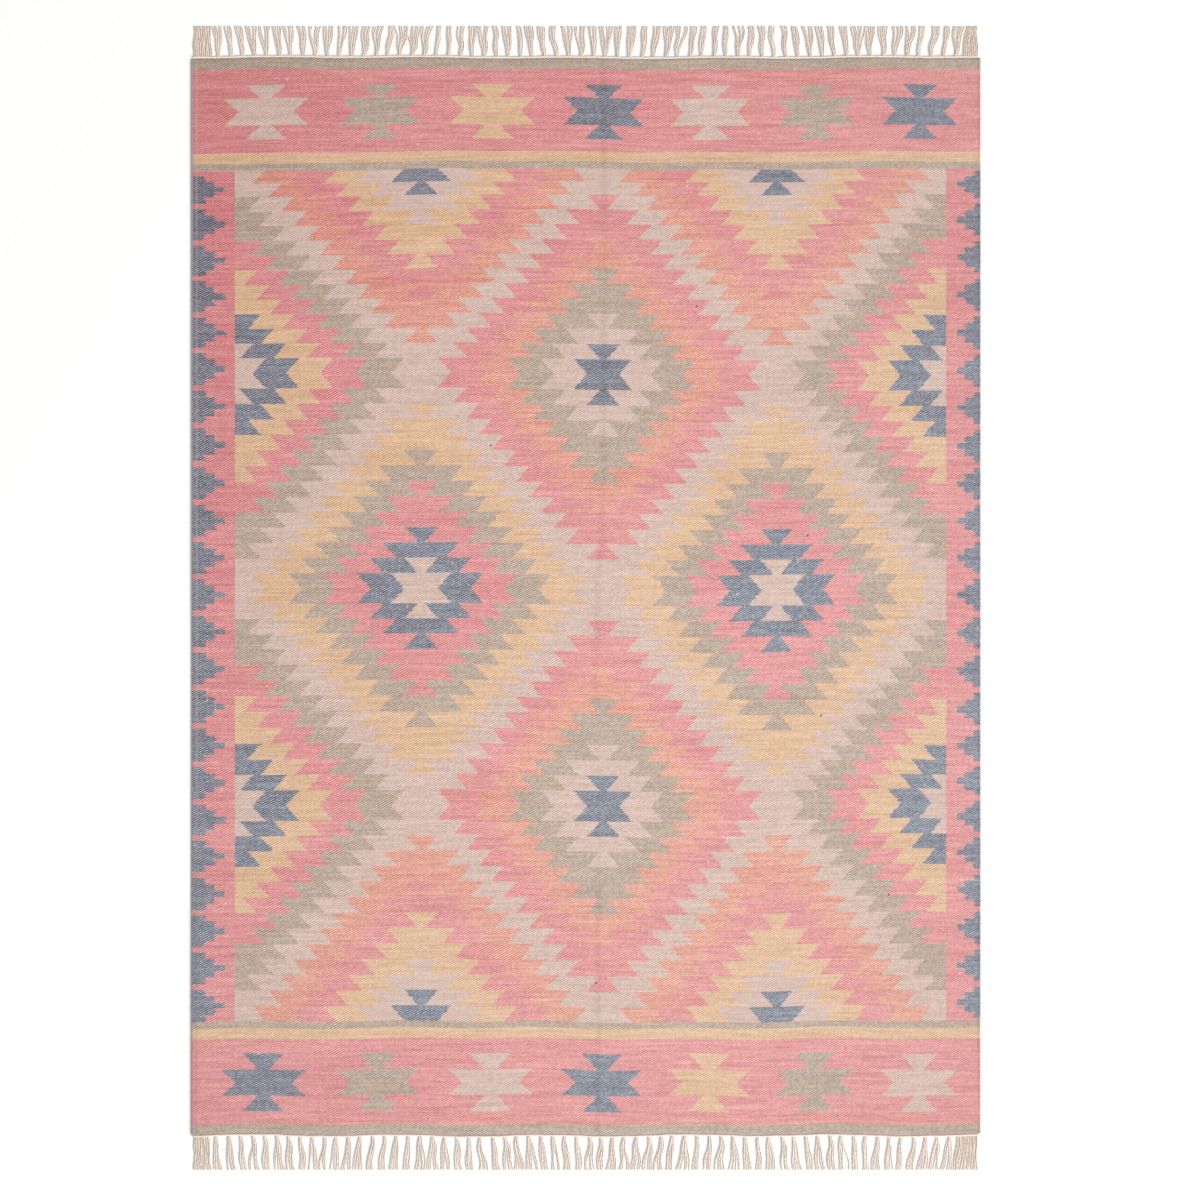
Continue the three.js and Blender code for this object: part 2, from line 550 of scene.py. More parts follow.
@dataclass(frozen=True)
class DesignChart:
    """The rug's design in warps from the left selvedge and in pips from the far end."""

    field_left: float = 21.2
    field_right: float = 381.2
    field_far: float = 50.0
    field_near: float = 442.0
    pips_a_row: float = 7.0
    column_pitch: float = 90.0
    waist_pitch: float = 28.0
    band_edges: tuple[float, ...] = (14.8, 31.1, 47.6, 63.9, 80.3)
    waist_stretch: tuple[float, ...] = (0.0, 0.0, 0.0, 0.5, 1.8)
    row_step: float = 6.18
    row_slant: float = 6.6
    tip_inner: float = 1.7
    tip_outer: float = 8.3
    least_band: tuple[int, ...] = (0, 1, 1, 2, 2, 2, 3, 3, 4, 4, 4, 5, 5, 5)
    tip_rows: tuple[int, ...] = (0, 1, 0, 1, 0, 0, 1, 0, 1, 0, 0, 1, 0, 0)
    stripe_lines: tuple[float, ...] = (5.0, 42.0, 47.0, 50.0, 442.0, 445.0, 450.0, 489.0)
    body_height: float = 6.0
    body_waist: float = 13.4
    body_flare: float = 7.0
    neck: float = 2.4
    neck_flare: float = 7.4
    steps_a_side: float = 23.0
    left_steps: tuple[float, ...] = (6.6, 11.3, 16.3)
    right_steps: tuple[float, ...] = (3.6, 8.6, 12.7)
    step_heights: tuple[float, ...] = (7.25, 4.4, 1.4)
    left_shift: float = 1.1
    right_shift: float = -0.2
    left_bulge: float = 1.7
    right_bulge: float = 2.7

    def motif_rows(self) -> tuple[HourglassRow, HourglassRow]:
        """The far and near rows of hourglass motifs, each from left to right.

        Returns:
            The far row and the near row.
        """
        cream, sage, yellow, blue = Yarn.CREAM, Yarn.SAGE, Yarn.YELLOW, Yarn.BLUE
        far = (cream, sage, yellow, blue, cream, sage, blue)
        near = (blue, sage, cream, blue, yellow, sage, cream)
        return (
            HourglassRow(24.0, 12.0, 201.6, 55.16, far, (0.0, -1.0, 0.7, 0.0, 0.5, 0.4, -0.4)),
            HourglassRow(470.0, 13.4, 200.7, 55.28, near, (0.1, -0.2, 0.5, 0.0, 0.5, 0.4, 0.0)),
        )

    def number(self, warp: Term, pip: Term) -> Term:
        """The number of the yarn that covers a warp at a pip.

        Args:
            warp: warps from the left selvedge, at the pip's centre.
            pip: pips from the far end, at the pip's centre.

        Returns:
            The yarn's number.
        """
        across = warp.between(self.field_left, self.field_right)
        along = pip.between(self.field_far, self.field_near)
        borders = self._hourglasses(warp, pip, self._stripes(pip))
        field = self._diamonds(warp - self.field_left, pip - self.field_far)
        inner = (across * along).pick(field, borders)
        return (along * (1.0 - across)).pick(self._side_steps(warp, pip), inner)

    def _stripes(self, pip: Term) -> Term:
        """The plain stripes and border grounds, as numbers in pip order.

        Args:
            pip: pips from the far end.

        Returns:
            The yarn number of the ground.
        """
        pink, yellow, sage = Yarn.PINK, Yarn.YELLOW, Yarn.SAGE
        passed = pip.over(self.stripe_lines[0])
        for line in self.stripe_lines[1:]:
            passed = passed + pip.over(line)
        grounds = (sage, pink, yellow, sage, Yarn.BEIGE, sage, yellow, pink, sage)
        return yarn_table(passed, grounds) * YARN_SCALE

    def _hourglasses(self, warp: Term, pip: Term, ground: Term) -> Term:
        """Lays the two rows of hourglass motifs on the borders.

        Args:
            warp: warps from the left selvedge.
            pip: pips from the far end.
            ground: the yarn number under the motifs.

        Returns:
            The yarn number with the motifs.
        """
        far, near = self.motif_rows()
        is_far = pip.under(PIP_COUNT / 2)
        pitch = is_far.pick(far.pitch, near.pitch)
        place = (warp - is_far.pick(far.central, near.central)) / pitch + len(far.yarns) / 2
        index = place.floor()
        extra = is_far.pick(far.widening(index), near.widening(index))
        aside = (place - index - 0.5).size() * pitch - extra * 2.0 + 1.0
        height = (pip - is_far.pick(far.middle, near.middle)).size()
        flare = height * (self.body_flare / self.body_height)
        body = height.under(self.body_height) * aside.under(flare + self.body_waist)
        rise = (height - self.body_height) / (is_far.pick(far.tip, near.tip) - self.body_height)
        cap = rise.between(-0.001, 1.0) * aside.under(rise * self.neck_flare + self.neck)
        yarns = is_far.pick(
            yarn_table(index, far.yarns) * YARN_SCALE, yarn_table(index, near.yarns) * YARN_SCALE
        )
        return body.either(cap).pick(yarns, ground)

    def _band(self, distance: Term, row: Term, share: Term, natural_tips: Number) -> Term:
        """How many bands a point lies from the middle of its diamond.

        Args:
            distance: warps from the diamond's column.
            row: design rows from its waist, 1 for the row beside it.
            share: how far the point is across that row, from the side that faces the waist.
            natural_tips: 1 where every tip keeps its full width.

        Returns:
            A whole number from 0 in the middle to 5 outside the diamond.
        """
        reach = distance + (row - 1.0) * self.row_step + (1.0 - share) * self.row_slant
        at_waist = row.under(1.5)
        count = reach.over(self.band_edges[0])
        for edge, stretch in zip(self.band_edges[1:], self.waist_stretch[1:]):
            count = count + reach.over(at_waist * stretch + edge)
        outside = float(len(self.band_edges))
        least = table(row - 1.0, [band / outside for band in self.least_band]) * outside
        is_tip_row = table(row - 1.0, self.tip_rows)
        tip_width = share * (self.tip_outer - self.tip_inner) + self.tip_inner
        in_tip = distance.under(tip_width).either(natural_tips)
        return count.either((least - is_tip_row * in_tip + 0.25).floor())

    def _diamonds(self, warp: Term, pip: Term) -> Term:
        """The serrated concentric diamonds of the field.

        Args:
            warp: warps from the field's left edge.
            pip: pips from the field's far edge.

        Returns:
            The yarn number.
        """
        rows = pip / self.pips_a_row
        row = rows.floor()
        part = rows - row
        half = self.waist_pitch / 2
        turn = row.wrap(self.waist_pitch)
        nearing = turn.under(half - 0.5)
        row_one = nearing.pick(half - turn, turn - (half - 1.0))
        share_one = nearing.pick(1.0 - part, part)
        beside_one = warp.work("PINGPONG", self.column_pitch)
        is_middle = warp.between(self.column_pitch, 3.0 * self.column_pitch)
        band_one = self._band(beside_one, row_one, share_one, 1.0 - is_middle)
        beside_two, row_two = self.column_pitch - beside_one, half + 1.0 - row_one
        band_two = self._band(beside_two, row_two, 1.0 - share_one, 0.0)
        is_central = rows.between(half, 3.0 * half)

        pink, coral, yellow, sage = Yarn.PINK, Yarn.CORAL, Yarn.YELLOW, Yarn.SAGE
        blue, cream, spare = Yarn.BLUE, Yarn.CREAM, Yarn.BEIGE
        middle = yarn_table(band_one, (blue, cream, sage, coral, pink, spare))
        sides = yarn_table(band_one, (cream, blue, yellow, pink, sage, spare))
        central = yarn_table(band_two, (cream, blue, pink, sage, yellow, spare))
        ends = yarn_table(band_two, (blue, Yarn.MAUVE, yellow, pink, coral, spare))
        one, two = is_middle.pick(middle, sides), is_central.pick(central, ends)
        return band_one.under(4.5).pick(one, two) * YARN_SCALE

    def _side_steps(self, warp: Term, pip: Term) -> Term:
        """The stepped motifs along both selvedges.

        Args:
            warp: warps from the left selvedge.
            pip: pips from the far end.

        Returns:
            The yarn number in the side strips.
        """
        length = self.field_near - self.field_far
        pitch = length / self.steps_a_side
        is_left = warp.under(WARP_COUNT / 2)
        start = pip - self.field_far
        swell = (start * (math.pi / length)).work("SINE")
        bulge = is_left.pick(self.left_bulge, self.right_bulge)
        place = (start - (is_left.pick(self.left_shift, self.right_shift) + swell * bulge)) / pitch
        height = (place.wrap(1.0) - 0.5).size() * pitch
        inward = is_left.pick(warp, WARP_COUNT - warp)
        first, *others = [
            inward.under(is_left.pick(left, right)) * height.under(half)
            for left, right, half in zip(self.left_steps, self.right_steps, self.step_heights)
        ]
        for step in others:
            first = first.either(step)
        return first.pick(Yarn.BLUE.value, Yarn.PINK.value)


@dataclass(frozen=True)
class LoomPlaces:
    """Turns chart numbers into places on the cloth, as unevenly as the real one was beaten.

    Each weft line has its pips from the far end, and then its place in thousandths of the woven
    length from the far end, at the left, in the middle and at the right, because a hand-beaten line
    droops and climbs as it crosses the loom. Each droop is a place across the rug and millimetres.
    """

    warp_marks: tuple[float, ...] = (0.0, 21.2, 111.2, 201.2, 291.2, 381.2, 400.0)
    width_marks: tuple[float, ...] = (0.0, 0.0556, 0.2913, 0.5222, 0.7419, 0.9567, 1.0)
    middle_x: float = 0.100
    left_x: float = -0.500
    right_x: float = 0.560
    wave_reach: float = 60.0
    droop_fade: float = 12.0
    droops: tuple[tuple[float, float], ...] = (
        (-0.656, 1.6), (-0.574, 1.8), (-0.495, 0.9), (-0.413, 0.2), (-0.333, -0.4), (-0.278, -1.6),
        (-0.225, -2.8), (-0.170, -2.5), (-0.062, -1.6), (0.046, -0.7), (0.154, 0.5), (0.262, 1.1),
        (0.370, 0.5), (0.477, 0.7), (0.585, -0.2), (0.640, 0.9), (0.693, 1.4),
    )
    weft_lines: tuple[tuple[float, float, float, float], ...] = (
        (0, 0.0, 0.0, 0.0), (5, 10.2, 10.3, 9.8), (12, 24.4, 24.8, 24.1), (18, 36.7, 37.0, 36.4),
        (30, 62.0, 62.4, 61.6), (36, 75.3, 75.4, 74.6), (42, 87.7, 86.4, 86.4), (47, 97.3, 96.0, 95.7),
        (50, 104.1, 103.0, 102.2), (64, 128.3, 126.9, 125.8), (99, 196.3, 195.7, 195.0),
        (134, 264.2, 266.2, 266.7), (148, 291.7, 294.2, 294.4), (176, 349.1, 351.9, 351.4),
        (197, 392.8, 395.3, 394.4), (246, 492.4, 494.8, 492.8), (267, 534.1, 537.4, 536.3),
        (295, 591.6, 595.7, 595.4), (320, 644.6, 647.3, 645.9), (344, 694.0, 695.7, 692.1),
        (368, 742.2, 744.2, 740.0), (393, 793.9, 795.9, 792.7), (414, 837.0, 839.1, 836.9),
        (442, 894.8, 896.2, 894.3), (445, 901.3, 901.9, 900.5), (450, 911.1, 911.6, 910.5),
        (457, 925.8, 926.5, 925.6), (464, 939.7, 940.3, 939.5), (476, 963.8, 964.4, 963.5),
        (483, 977.6, 978.3, 977.4), (489, 990.7, 991.0, 990.4), (494, 1000.0, 1000.0, 1000.0),
    )

    def width_share(self, warp: float) -> float:
        """How far across the cloth a warp lies, from 0 at the left selvedge to 1."""
        return float(np.interp(warp, self.warp_marks, self.width_marks))

    def lengths(self, x: float, pips: np.ndarray, chart: DesignChart) -> np.ndarray:
        """Where weft lines lie along Y at one place across the rug.

        Args:
            x: the place across the rug.
            pips: each line's pips from the far end.
            chart: the design, whose field keeps clear of the ends' waves.

        Returns:
            Each line's Y.
        """
        marks, left, middle, right = np.array(self.weft_lines).T
        to_middle = smooth(x, self.left_x, self.middle_x)
        to_right = smooth(x, self.middle_x, self.right_x)
        places = left + (middle - left) * to_middle + (right - middle) * to_right
        mean = CLOTH_CENTRE_Y + CLOTH_LENGTH * (0.5 - np.interp(pips, marks, places) / 1000.0)
        far_pull = np.clip(1.0 - (pips - chart.field_far) / self.wave_reach, 0.0, 1.0)
        near_pull = np.clip(1.0 - (chart.field_near - pips) / self.wave_reach, 0.0, 1.0)
        across, drops = np.array(self.droops).T
        ends = np.clip(np.minimum(pips, PIP_COUNT - pips) / self.droop_fade, 0.0, 1.0)
        droop = np.interp(x, across, drops) * MM * ends
        return mean + far_pull * end_wave(1, x) - near_pull * end_wave(-1, x) - droop


@dataclass(frozen=True)
class WovenFinish:
    """The weft-faced wool and cotton weave in all its dyed yarns.

    The painted light falloff and crispness fields are shares for each metre from the rug's middle, or for
    each square metre. Places down the rug are in pips and places across it in warps.
    """

    name: str = "dyed_weft_weave"
    deep_exposure: float = 0.965
    exposure: float = 1.035
    streak: float = 0.38
    slow: float = 0.8
    batch: float = 0.7
    painted_pip_shade: float = 0.53
    speckle: float = 0.22
    fuzz: float = 0.10
    tooth: float = 0.6
    lean: float = 0.30
    groove_share: float = 0.40
    roughness: float = 0.88
    touch: YarnTouch = YarnTouch(0.18, 0.08, 0.6, 0.8, 0.00045)
    painted_centre_light: float = 0.997
    painted_darker_sides: float = 0.124
    painted_darker_ends: float = 0.038
    painted_darker_right: float = 0.015
    painted_lighter_far: float = 0.009
    painted_lighter_corners: float = 0.024
    crisp_middle: float = 1.02
    softer_right: float = 0.2
    softer_ends: float = 0.42
    edge_groove_shade: float = 0.22
    right_edge_shade: float = 0.07
    bare_warp: Shade = (236, 220, 214)
    bare_warp_share: float = 0.20
    painted_edge_shade: Shade = (192, 182, 190)
    nep: Shade = (238, 222, 208)
    red_fleck: Shade = (140, 62, 66)
    crease_far: float = 200.8
    crease_near: float = 197.6
    crease_width: float = 3.6
    crease_waver: float = 3.0
    crease_gap: float = 330.0
    crease_share: float = 0.15

    def build(self, chart: DesignChart) -> bpy.types.Material:
        """Makes the material.

        Args:
            chart: the rules of the design.

        Returns:
            The material, which reads the cloth's warp and pip numbers.
        """
        material = bare_material(self.name)
        tree = material.node_tree
        warp, pip = carried(tree, "warp"), carried(tree, "pip")
        column = warp.floor().held(0.0, WARP_COUNT - 1.0)
        half = column.wrap(2.0) * 0.5
        across = warp - column - 0.5
        jog = (white(tree, (warp / 9.0).floor(), (pip * 2.0).floor(), 5.0) - 0.5) * self.tooth
        leant = pip - half + across * self.lean
        pick = leant.floor() + half
        along = leant - leant.floor() - 0.5
        line = (pip * 2.0 + across * self.lean).floor() * 0.5
        number = chart.number(column + 0.5 + jog, (line + 0.25).held(0.01, PIP_COUNT - 0.01))

        x, y = self._rug_place(tree)
        # The share from the far left shade to the near right one is partly dye fade and partly painted
        # light.
        fade_and_light = self._fade_and_painted_light(x, y) - self._strip_fade(chart, warp, pip)
        streak = noise(tree, spot(tree, warp / 26.0, line * 3.7, 0.0)) - 0.5
        slow = noise(tree, spot(tree, warp / 75.0, line * 0.35, 3.0)) - 0.5
        batch = noise(tree, spot(tree, warp / 170.0, line * 0.06, 9.0), detail=1.0) - 0.5
        each = white(tree, column, pick)
        fibre = noise(tree, spot(tree, warp * 1.7 + pip * 2.2, pip * 9.0 - warp * 3.0, 7.0), detail=3.0)
        depth = noise(tree, spot(tree, column * 0.37, pip / 14.0, 13.0), detail=1.0) * 1.2 + 0.4
        crown = 1.0 - (across * across) * depth * (4.0 * self.groove_share)
        bead = crown * ((along * math.tau).work("COSINE") * 0.5 + 0.5)
        heather_and_shade = table(number, [dye.heather_and_shade / 2.0 for dye in DYES]) * 2.0
        plump = white(tree, column, pick, 6.0) * 1.1 + 0.45
        # Painted pip shade: each pip's crest is painted paler and the grooves round it darker, in the colour
        # mix and in the tone below.
        painted_pip_shade = (bead - 0.42) * heather_and_shade * plump * self._crispness(x, y)
        colour = mix(
            tree,
            (fade_and_light + streak * 1.6 + slow * self.slow + batch * self.batch + painted_pip_shade * 0.9).held(-0.9, 1.9),
            steps(number, [linear_light(dye.deep_and_shaded, self.deep_exposure) for dye in DYES]),
            steps(number, [linear_light(dye.faded_and_lit, self.exposure) for dye in DYES]),
        )
        fuzz = (fibre - 0.5) * self.fuzz
        speckle = (each - 0.5) * heather_and_shade * self.speckle
        # The tone adds the painted pip shade to real speckle, streaks and fuzz, then the painted shade of
        # the outer grooves and of the fold line.
        tone = 1.0 + painted_pip_shade * self.painted_pip_shade + speckle + streak * self.streak + fuzz
        tone = tone * self._selvedge_shade(warp) * self._crease_shade(tree, warp, pip)
        # The colour is scaled by the tone and by a painted light falloff that is brightest in the rug's
        # middle.
        colour = scaled(tree, colour, tone * self._painted_light_falloff(x, y))
        colour = self._left_selvedge(tree, colour, warp, column, pip)
        colour = self._flecks(tree, colour, column, pick)
        height = bead * 0.8 + fibre * 0.2 + each * 0.1
        self.touch.finish(tree, colour, (fibre - 0.5) * 0.12 + self.roughness, height)
        return material

    @staticmethod
    def _rug_place(tree: Tree) -> tuple[Term, Term]:
        """How far a point lies from the rug's middle, across it and along it.

        Args:
            tree: the tree it goes in.

        Returns:
            The distance to the right of the middle, and the distance towards the far end.
        """
        place = tree.nodes.new("ShaderNodeTexCoord")
        split = tree.nodes.new("ShaderNodeSeparateXYZ")
        tree.links.new(place.outputs["Object"], split.inputs[0])
        return Term(tree, split.outputs["X"]), Term(tree, split.outputs["Y"])

    @staticmethod
    def _fade_and_painted_light(x: Term, y: Term) -> Term:
        """How far the colour moves from the far left corner's shade to the near right one's, which is partly
        dye fade and partly painted light.
        """
        rest = 1.0 - (x * (0.5 / CLOTH_WIDTH) - y * (0.5 / CLOTH_LENGTH) + 0.5)
        return 1.0 - rest * rest

    @staticmethod
    def _strip_fade(chart: DesignChart, warp: Term, pip: Term) -> Term:
        """How much nearer the strips beside the field stay to the far left corner's shade, most at the far
        end.
        """
        beside = warp.under(chart.field_left) + warp.over(chart.field_right)
        return beside * pip.between(chart.field_far, chart.field_near) * (0.22 - pip * (0.27 / PIP_COUNT))

    def _painted_light_falloff(self, x: Term, y: Term) -> Term:
        """Painted light falloff: a tone that is brightest in the rug's middle and darker towards its sides
        and ends.
        """
        level = self.painted_centre_light - x * x * self.painted_darker_sides - y * y * self.painted_darker_ends
        return level - x * self.painted_darker_right + y * self.painted_lighter_far + x * y * self.painted_lighter_corners

    def _crispness(self, x: Term, y: Term) -> Term:
        """How plainly the pips stand out, which is most in the middle of the rug."""
        return self.crisp_middle - x * self.softer_right - y * y * self.softer_ends

    def _selvedge_shade(self, warp: Term) -> Term:
        """Paints shade into the grooves of the outer warps, and darkens the last warp on the right.

        Args:
            warp: warps from the left selvedge.

        Returns:
            A tone of 1 or less.
        """
        inward = warp.work("MINIMUM", WARP_COUNT - warp)
        groove = ((warp - warp.floor() - 0.5).size() * 2.0).work("POWER", 3.0)
        right_edge = warp.over(WARP_COUNT - 1.7) * self.right_edge_shade
        return (1.0 - inward.under(3.0) * groove * self.edge_groove_shade) * (1.0 - right_edge)

    def _left_selvedge(self, tree: Tree, colour: Socket, warp: Term, column: Term, pip: Term) -> Socket:
        """Paints shade on the left edge, greyest at the far end, and lets one pale warp near it show through
        the wefts.

        Args:
            tree: the tree it goes in.
            colour: the cloth's colour.
            warp: warps from the left selvedge.
            column: the whole number of the warp.
            pip: pips from the far end.

        Returns:
            The colour with both.
        """
        shown = column.between(1.5, 2.5) * pip.spread(300.0, 440.0, self.bare_warp_share, 0.0)
        colour = mix(tree, shown, colour, linear_light(self.bare_warp, self.exposure))
        # Painted shade on the left edge, strongest at the far end.
        edge_shade_share = warp.spread(0.3, 1.35, 1.0, 0.0) * pip.spread(0.0, PIP_COUNT, 0.75, 0.20)
        return mix(tree, edge_shade_share, colour, linear_light(self.painted_edge_shade, self.exposure))

    def _crease_shade(self, tree: Tree, warp: Term, pip: Term) -> Term:
        """Painted shade along the fold line down the middle, with a gap where it is pressed out.

        Args:
            tree: the tree it goes in.
            warp: warps from the left selvedge.
            pip: pips from the far end.

        Returns:
            A tone of 1 or less.
        """
        waver = noise(tree, spot(tree, 0.0, pip / 110.0, 11.0), detail=1.0)
        depth = noise(tree, spot(tree, 4.0, pip / 60.0, 5.0))
        middle = pip.spread(170.0, 270.0, self.crease_far, self.crease_near)
        away = (warp - middle - (waver - 0.5) * self.crease_waver).size()
        kept = 1.0 - (pip - self.crease_gap).size().spread(20.0, 60.0, 0.8, 0.0)
        return 1.0 - away.spread(0.0, self.crease_width, 1.0, 0.0) * (depth * kept * self.crease_share)

    def _flecks(self, tree: Tree, colour: Socket, column: Term, pick: Term) -> Socket:
        """Scatters pale neps and a few dark red flecks of stray fibre.

        Args:
            tree: the tree it goes in.
            colour: the cloth's colour.
            column: the whole number of the warp.
            pick: the pip's place down that warp.

        Returns:
            The colour with the flecks.
        """
        pale = white(tree, column, pick, 3.0).over(0.999)
        dark = white(tree, column, pick, 8.0).over(0.99995)
        colour = mix(tree, pale * 0.45, colour, linear_light(self.nep, self.exposure))
        return mix(tree, dark * 0.75, colour, linear_light(self.red_fleck, self.exposure))


@dataclass(frozen=True)
class FringeFinish:
    """The undyed plied cotton of the warp ends and heading cords."""

    name: str
    light: Shade = (238, 225, 213)
    shaded: Shade = (223, 206, 192)
    exposure: float = 0.93
    roughness: float = 0.9
    fibre_scale: float = 900.0
    patch_scale: float = 60.0
    touch: YarnTouch = YarnTouch(0.2, 0.1, 0.5, 0.6, 0.00015)

    def build(self) -> bpy.types.Material:
        """Makes the material, which reads each yarn's tone and groove numbers.

        Returns:
            The material.
        """
        material = bare_material(self.name)
        tree = material.node_tree
        groove, tone = carried(tree, "groove"), carried(tree, "tone")
        place = tree.nodes.new("ShaderNodeTexCoord").outputs["Object"]
        fibre = noise(tree, place, self.fibre_scale, 3.0)
        patch = noise(tree, place, self.patch_scale)
        # The groove between the two plies is painted darker as painted shade; each yarn's tone, patches and
        # fibres also move the colour between the two shades.
        share = 0.82 - groove * 0.45 + (tone - 0.5) * 0.6 + (patch - 0.5) * 0.5 + (fibre - 0.5) * 0.4
        shades = (linear_light(shade, self.exposure) for shade in (self.shaded, self.light))
        colour = mix(tree, share.held(-0.3, 1.0), *shades)
        self.touch.finish(tree, colour, (fibre - 0.5) * 0.1 + self.roughness, fibre - groove * 0.3)
        return material


@dataclass
class WovenGround:
    """The woven cloth: one closed mesh with a rib for every warp."""

    chart: DesignChart
    places: LoomPlaces
    rib_depth: float = 0.00020
    selvedge_depth: float = 0.0007
    selvedge_ribs: int = 3
    left_draw_in: float = 0.0006
    top_rows: int = 90
    under_columns: int = 80
    edge_height: float = 0.0022
    foot_inset: float = 0.0006
    end_rows: tuple[float, ...] = (0.3, 0.9)
    end_drops: tuple[float, ...] = (0.0011, 0.0003)
    broad_wave: float = 0.00018
    fine_wave: float = 0.00012
    crease_depth: float = 0.0003
    crease_half_width: float = 0.006
    crease_x: float = 0.0290
    crease_shift: float = 0.0105
    crease_waver: float = 0.0015
    crease_pressed: float = 0.8

    def row_pips(self) -> np.ndarray:
        """The pips at which the mesh has a row, with one on every weft line of the chart.

        Returns:
            The pips from the far end, in order.
        """
        marks = [line[0] for line in self.places.weft_lines]
        spacing = PIP_COUNT / (self.top_rows - len(marks) / 2)
        rows: list[float] = [marks[0]]
        for low, high in zip(marks, marks[1:]):
            parts = max(1, round((high - low) / spacing))
            rows += [low + (high - low) * part / parts for part in range(1, parts + 1)]
        rows[1:1] = list(self.end_rows)
        rows[-1:-1] = [PIP_COUNT - pips for pips in reversed(self.end_rows)]
        return np.array(rows)

    def _grid(self, warps: np.ndarray, pips: np.ndarray) -> tuple[np.ndarray, np.ndarray]:
        """X and Y of every crossing of these warps and weft lines.

        Args:
            warps: the warps' places from the left selvedge.
            pips: the weft lines' pips from the far end.

        Returns:
            X and Y, each with a row for a weft line and a column for a warp.
        """
        x = np.zeros((len(pips), len(warps)))
        y = np.zeros_like(x)
        for column, warp in enumerate(warps):
            share = self.places.width_share(warp)
            mean_x = CLOTH_WIDTH * (share - 0.5)
            pull = np.sin(np.pi * pips / PIP_COUNT) ** 2 * self.left_draw_in * (1.0 - share) ** 4
            x[:, column] = mean_x + pull
            y[:, column] = self.places.lengths(mean_x, pips, self.chart)
        return x, y

    def _top_height(self, warps: np.ndarray, x: np.ndarray, y: np.ndarray) -> np.ndarray:
        """Height of the walking face, with its ribs, slow waves and fold line.

        Args:
            warps: the warps' places from the left selvedge.
            x: each crossing's place across the rug.
            y: each crossing's place along it.

        Returns:
            Z of every crossing.
        """
        inward = np.minimum(warps, WARP_COUNT - warps)
        depth = np.where(inward < self.selvedge_ribs, self.selvedge_depth, self.rib_depth)
        valley = np.isclose(warps % 1.0, 0.0)
        z = CLOTH_TOP - np.where(valley, depth, 0.0)[None, :] + np.zeros_like(x)
        z += self.broad_wave * np.sin(x * 9.0 + 1.1) * np.sin(y * 6.0 + 0.4)
        z += self.fine_wave * np.sin(x * 23.0 - y * 17.0)
        share = np.clip((0.30 - y) / 0.35, 0.0, 1.0)
        crease_x = self.crease_x - self.crease_shift * share * share * (3.0 - 2.0 * share)
        crease_x = crease_x + self.crease_waver * np.sin(y * 13.0)
        pressed_out = 1.0 - self.crease_pressed * np.exp(-(((y + 0.18) / 0.12) ** 2))
        z -= self.crease_depth * pressed_out * np.exp(-(((x - crease_x) / self.crease_half_width) ** 2))
        z[:, 0] = z[:, -1] = self.edge_height
        for row, drop in enumerate(self.end_drops):
            z[row, 1:-1] -= drop
            z[-1 - row, 1:-1] -= drop
        return z

    @staticmethod
    def _faces(rows: int, columns: int, kept: Sequence[int]) -> list[tuple[int, ...]]:
        """The cloth's faces: underside, selvedges, woven ends and then the walking face.

        Args:
            rows: rows of points on each face.
            columns: columns of points on the walking face.
            kept: the columns of the walking face that the underside has too.

        Returns:
            The point numbers of each face, in order round it as seen from outside.
        """
        top = np.arange(rows * columns).reshape(rows, columns).tolist()
        under = (np.arange(rows * len(kept)) + rows * columns).reshape(rows, -1).tolist()
        faces: list[tuple[int, ...]] = []
        for one, two in zip(under, under[1:]):
            faces += [(one[c], one[c + 1], two[c + 1], two[c]) for c in range(len(kept) - 1)]
        for row in range(rows - 1):
            faces.append((top[row][0], under[row][0], under[row + 1][0], top[row + 1][0]))
            faces.append((top[row + 1][-1], under[row + 1][-1], under[row][-1], top[row][-1]))
        for column, (first, last) in enumerate(zip(kept, kept[1:])):
            far, near = top[0][first : last + 1], top[-1][first : last + 1]
            faces.append((*far, under[0][column + 1], under[0][column]))
            faces.append((*reversed(near), under[-1][column], under[-1][column + 1]))
        for one, two in zip(top, top[1:]):
            faces += [(one[c], two[c], two[c + 1], one[c + 1]) for c in range(columns - 1)]
        return faces

    def build(self) -> bpy.types.Object:
        """Builds the cloth.

        Returns:
            The cloth, with its warp and pip numbers and its own flat map.
        """
        pips = self.row_pips()
        warps = np.arange(0, WARP_COUNT * 2 + 1) / 2.0
        x, y = self._grid(warps, pips)
        rows, columns = x.shape
        kept = np.arange(0, columns, (columns - 1) // self.under_columns)
        top = np.stack([x, y, self._top_height(warps, x, y)], axis=-1).reshape(-1, 3)
        under = np.stack([x[:, kept], y[:, kept], np.zeros((rows, len(kept)))], axis=-1)
        under[:, 0, 0] += self.foot_inset
        under[:, -1, 0] -= self.foot_inset
        under[0, :, 1] -= self.foot_inset
        under[-1, :, 1] += self.foot_inset
        points = np.concatenate([top, under.reshape(-1, 3)])
        crossings = [np.stack(np.meshgrid(some, pips), axis=-1) for some in (warps, warps[kept])]
        chart = np.concatenate([crossing.reshape(-1, 2) for crossing in crossings])

        mesh = bpy.data.meshes.new("woven_cloth")
        mesh.from_pydata(points.tolist(), [], self._faces(rows, columns, kept.tolist()))
        carry(mesh, "warp", chart[:, 0])
        carry(mesh, "pip", chart[:, 1])
        corner = np.zeros(len(mesh.loops), dtype=np.int32)
        mesh.loops.foreach_get("vertex_index", corner)
        flat_map = chart[corner] / np.array([WARP_COUNT, PIP_COUNT])
        flat_map[:, 1] = 1.0 - flat_map[:, 1]
        mesh.uv_layers.new(name="OFBake").data.foreach_set("uv", flat_map.astype(np.float32).ravel())
        mesh.shade_smooth()
        mesh.update()
        return put_in_scene("woven_cloth", mesh)

